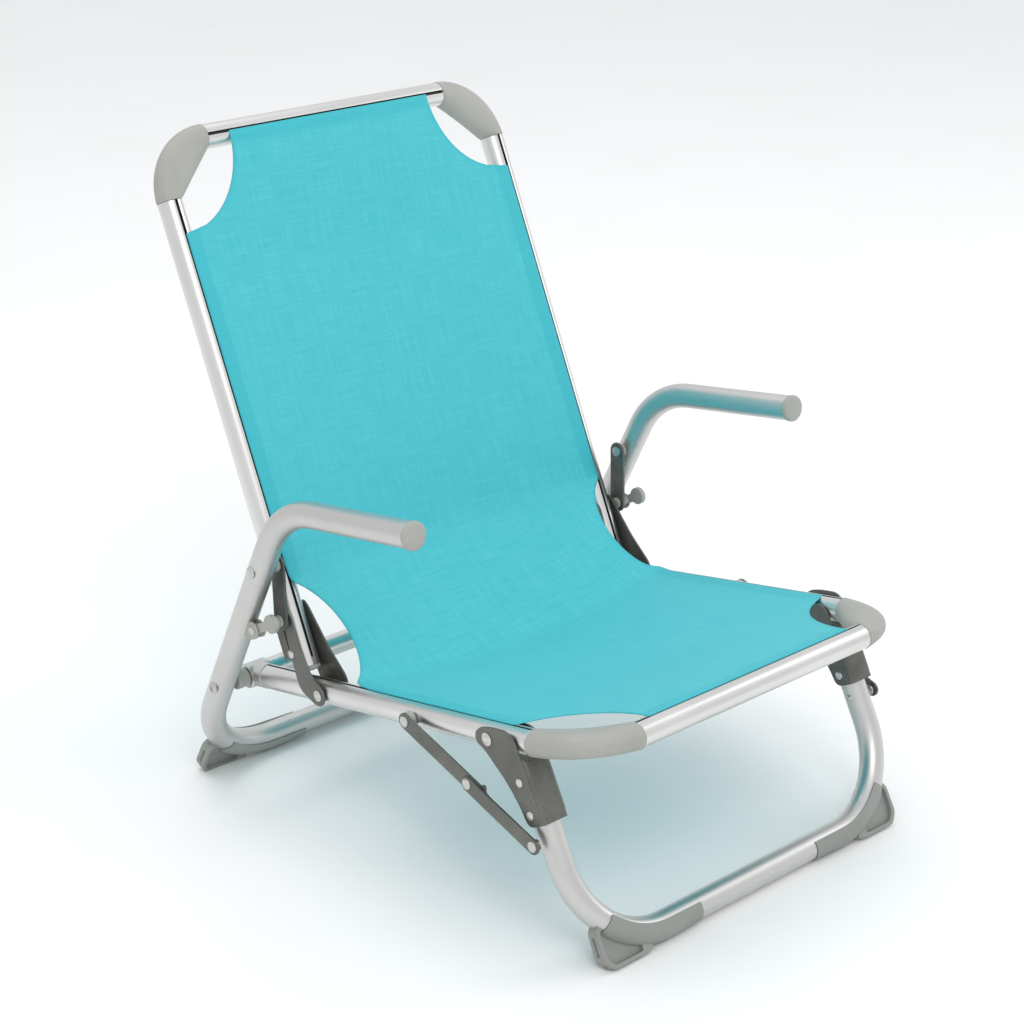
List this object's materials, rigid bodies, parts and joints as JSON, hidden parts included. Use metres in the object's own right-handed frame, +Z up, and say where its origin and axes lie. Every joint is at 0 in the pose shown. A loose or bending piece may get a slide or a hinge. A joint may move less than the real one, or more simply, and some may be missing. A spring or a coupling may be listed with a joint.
{
  "type": "low folding beach chair",
  "caption": "Low folding beach chair with a tubular metal frame, one mesh sling for seat and back, tube armrests, plastic corners and feet, folding straps and leg braces.",
  "frame": {"origin": "on the ground, in the middle of the chair's footprint", "axes": "+X to the right-hand side seen from the front, -Y towards the front of the seat, +Z up; the chair stands open with its joints at rest"},
  "size_m": [0.5416, 0.6541, 0.6654],
  "materials": {
    "tube_aluminium": "satin",
    "grey_plastic": "satin",
    "foot_plastic": "satin",
    "bracket_steel": "satin",
    "rivet_steel": "polished",
    "sling_mesh": "woven"
  },
  "bodies": {
    "seat_frame": {"seat_rail_left": "tube_aluminium", "seat_rail_right": "tube_aluminium", "front_rail": "tube_aluminium", "front_elbow_left": "grey_plastic", "front_elbow_right": "grey_plastic", "rear_crossbar": "tube_aluminium", "rail_end_left": "grey_plastic", "rail_end_right": "grey_plastic", "seat_sling": "sling_mesh", "back_hinge_pin_left": "rivet_steel", "back_hinge_pin_right": "rivet_steel", "leg_hinge_pin_left": "rivet_steel", "leg_hinge_pin_right": "rivet_steel", "brace_pin_left": "grey_plastic", "brace_pin_right": "grey_plastic"},
    "back_frame": {"back_stile_left": "tube_aluminium", "back_stile_right": "tube_aluminium", "top_rail": "tube_aluminium", "top_elbow_left": "grey_plastic", "top_elbow_right": "grey_plastic", "stile_cap_left": "grey_plastic", "stile_cap_right": "grey_plastic", "hinge_bracket_left": "bracket_steel", "hinge_bracket_right": "bracket_steel", "back_sling": "sling_mesh"},
    "arm_frame": {"arm_and_rear_leg_tube": "tube_aluminium", "arm_cap_left": "grey_plastic", "arm_cap_right": "grey_plastic", "rear_foot_left": "foot_plastic", "rear_foot_right": "foot_plastic", "arm_spacer_left": "grey_plastic", "arm_spacer_right": "grey_plastic", "arm_bolt_left": "rivet_steel", "arm_bolt_right": "rivet_steel", "strap_top_pin_left": "rivet_steel", "strap_top_pin_right": "rivet_steel", "strap_spacer_left": "grey_plastic", "strap_spacer_right": "grey_plastic", "lever_lug_left": "grey_plastic", "lever_lug_right": "grey_plastic", "lever_pin_left": "rivet_steel", "lever_pin_right": "rivet_steel"},
    "straps": {"strap_left": "bracket_steel", "strap_right": "bracket_steel", "strap_low_pin_left": "grey_plastic", "strap_low_pin_right": "grey_plastic"},
    "catch_lever_left_body": {"catch_lever_left": "grey_plastic"},
    "catch_lever_right_body": {"catch_lever_right": "grey_plastic"},
    "front_leg": {"front_leg_tube": "tube_aluminium", "front_foot_left": "foot_plastic", "front_foot_right": "foot_plastic", "leg_bracket_left": "bracket_steel", "leg_bracket_right": "bracket_steel"},
    "brace_uppers": {"brace_upper_left": "bracket_steel", "brace_upper_right": "bracket_steel"},
    "brace_lowers": {"brace_lower_left": "bracket_steel", "brace_lower_right": "bracket_steel"}
  },
  "joints": [
    {"name": "back_fold", "type": "hinge", "parent": "seat_frame", "child": "back_frame", "pos_m": [0, 0.059, 0.14989], "axis": [1, 0, 0], "range_deg": [0, 95]},
    {"name": "arm_fold", "type": "hinge", "parent": "seat_frame", "child": "arm_frame", "pos_m": [0, 0.181, 0.1275], "axis": [1, 0, 0], "range_deg": [0, 31.1]},
    {"name": "strap_swing", "type": "hinge", "parent": "arm_frame", "child": "straps", "pos_m": [0, 0.10856, 0.277], "axis": [1, 0, 0], "range_deg": [-93.5, 0]},
    {"name": "catch_lift_left", "type": "hinge", "parent": "arm_frame", "child": "catch_lever_left_body", "pos_m": [-0.255, 0.1212, 0.209], "axis": [-1, 0, 0], "range_deg": [0, 24]},
    {"name": "catch_lift_right", "type": "hinge", "parent": "arm_frame", "child": "catch_lever_right_body", "pos_m": [0.255, 0.1212, 0.209], "axis": [-1, 0, 0], "range_deg": [0, 24]},
    {"name": "front_leg_fold", "type": "hinge", "parent": "seat_frame", "child": "front_leg", "pos_m": [0, -0.188, 0.19521], "axis": [1, 0, 0], "range_deg": [0, 100]},
    {"name": "brace_upper_swing", "type": "hinge", "parent": "seat_frame", "child": "brace_uppers", "pos_m": [0, -0.08, 0.17539], "axis": [1, 0, 0], "range_deg": [-30.3, 0]},
    {"name": "brace_lower_swing", "type": "hinge", "parent": "brace_uppers", "child": "brace_lowers", "pos_m": [0, -0.17019, 0.14579], "axis": [1, 0, 0], "range_deg": [0, 155.5]}
  ],
  "couplings": [
    {"joint": "arm_fold", "follows": "back_fold", "ratio": 0.3266},
    {"joint": "strap_swing", "follows": "back_fold", "ratio": -0.9836},
    {"joint": "brace_upper_swing", "follows": "front_leg_fold", "ratio": -0.3016},
    {"joint": "brace_lower_swing", "follows": "front_leg_fold", "ratio": 1.553}
  ]
}
